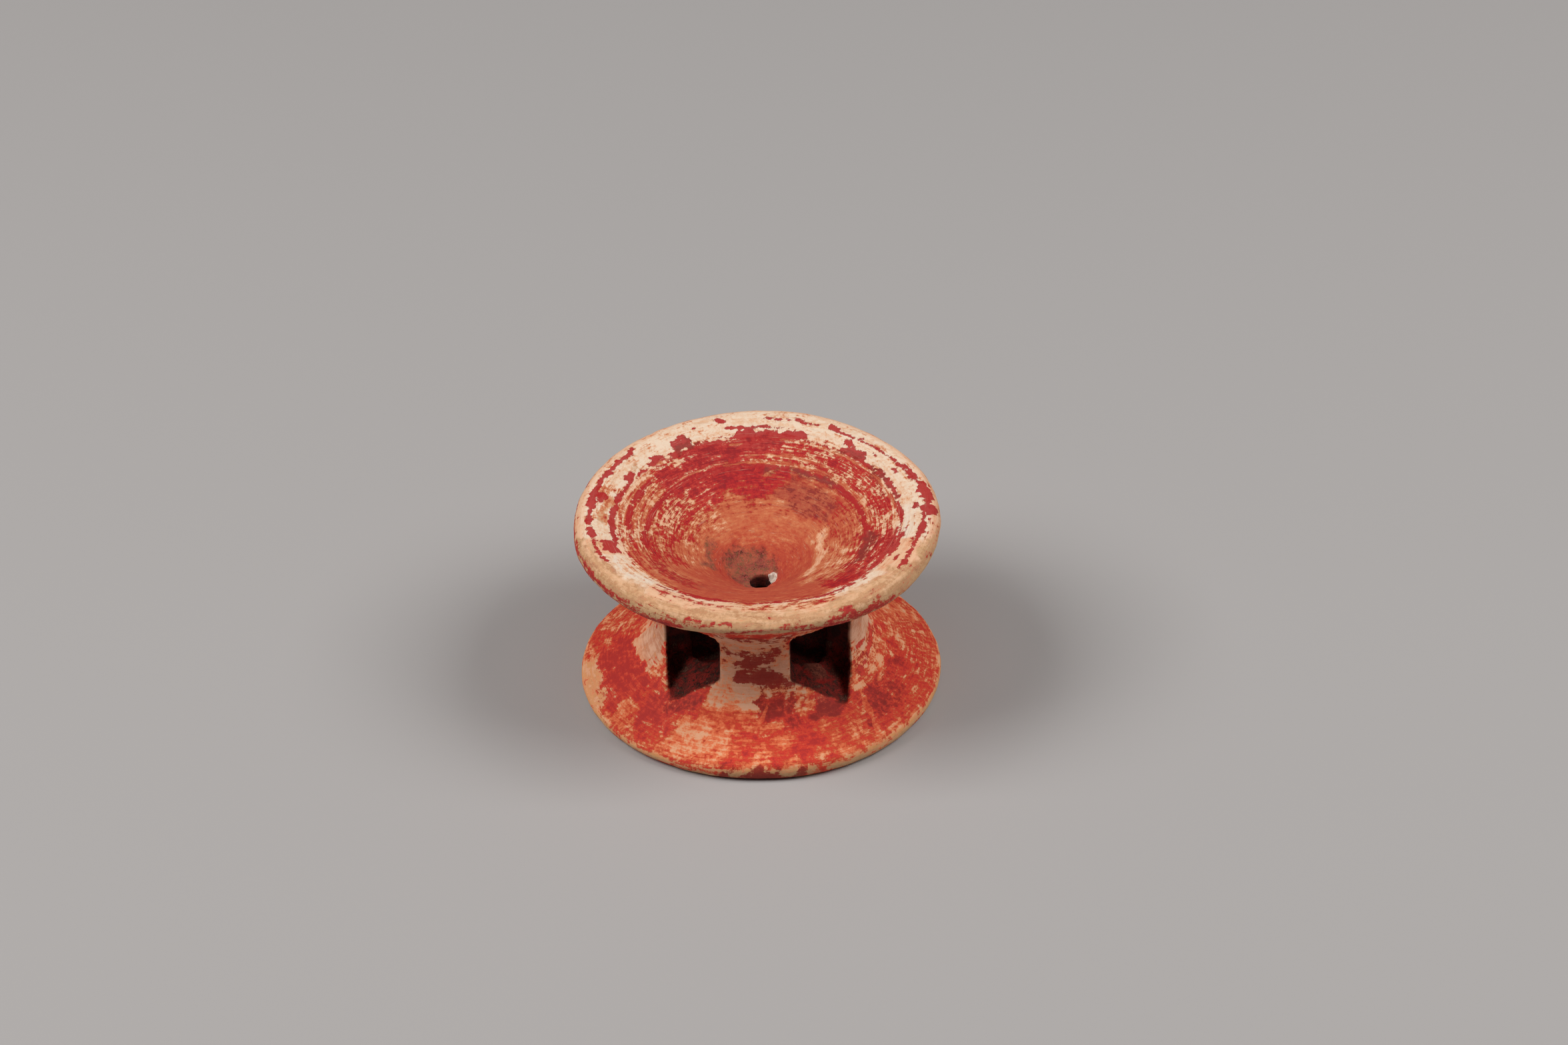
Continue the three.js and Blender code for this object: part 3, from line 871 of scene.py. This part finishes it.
# The table: a plain pale sheet of paper, much larger than the whorl, on which it stands.
sheet = bmesh.new()
bmesh.ops.create_grid(sheet, x_segments=1, y_segments=1, size=2)
sheet_mesh = bpy.data.meshes.new("paper")
sheet.to_mesh(sheet_mesh)
sheet.free()
paper = shown(sheet_mesh, "paper")
paper_finish = bpy.data.materials.new("pale_paper")
paper_finish.use_nodes = True
paper_shader = paper_finish.node_tree.nodes["Principled BSDF"]
paper_shader.inputs["Base Color"].default_value = tint(176, 172, 170)
paper_shader.inputs["Roughness"].default_value = 0.9
paper_shader.inputs["Specular IOR Level"].default_value = 0.2
sheet_mesh.materials.append(paper_finish)


# The light: one large soft lamp at each side, a weak one above, and a little light from all
# round.
def soft_lamp(name, bearing_of, rise, far, width, power):
    lamp = bpy.data.lights.new(name, "AREA")
    lamp.shape = "SQUARE"
    lamp.size = width
    lamp.energy = power
    holder = bpy.data.objects.new(name, lamp)
    bpy.context.scene.collection.objects.link(holder)
    turn = math.radians(bearing_of)
    up = math.radians(rise)
    way = Vector((math.cos(turn) * math.cos(up), math.sin(turn) * math.cos(up), math.sin(up)))
    holder.location = way * far
    holder.rotation_euler = way.to_track_quat("Z", "Y").to_euler()


soft_lamp("lamp_left", -169, 48, 0.9, 0.45, 5.2)
soft_lamp("lamp_right", -11, 48, 0.9, 0.45, 4.6)
soft_lamp("lamp_above", -90, 78, 0.9, 0.6, 0.6)
surround = bpy.data.worlds.new("surround")
surround.use_nodes = True
surround.node_tree.nodes["Background"].inputs["Color"].default_value = (1, 0.97, 0.94, 1)
surround.node_tree.nodes["Background"].inputs["Strength"].default_value = 0.06
bpy.context.scene.world = surround
bpy.context.scene.view_settings.view_transform = "Standard"


# The camera: it looks down at the front of the whorl from about half a metre away.
camera_rise = math.radians(35.37)
camera_roll = math.radians(-1.335)
camera_far = 0.5224
camera_target = Vector((0.0032, 0, 0.02256))
lens = bpy.data.cameras.new("camera")
lens.lens = 100
lens.sensor_width = 36
camera = bpy.data.objects.new("camera", lens)
bpy.context.scene.collection.objects.link(camera)
back = Vector((0, -math.cos(camera_rise), math.sin(camera_rise)))
looking = (-back).to_track_quat("-Z", "Y").to_matrix().to_4x4()
camera.matrix_world = (
    Matrix.Translation(camera_target + back * camera_far)
    @ looking @ Matrix.Rotation(camera_roll, 4, "Z"))
bpy.context.scene.camera = camera
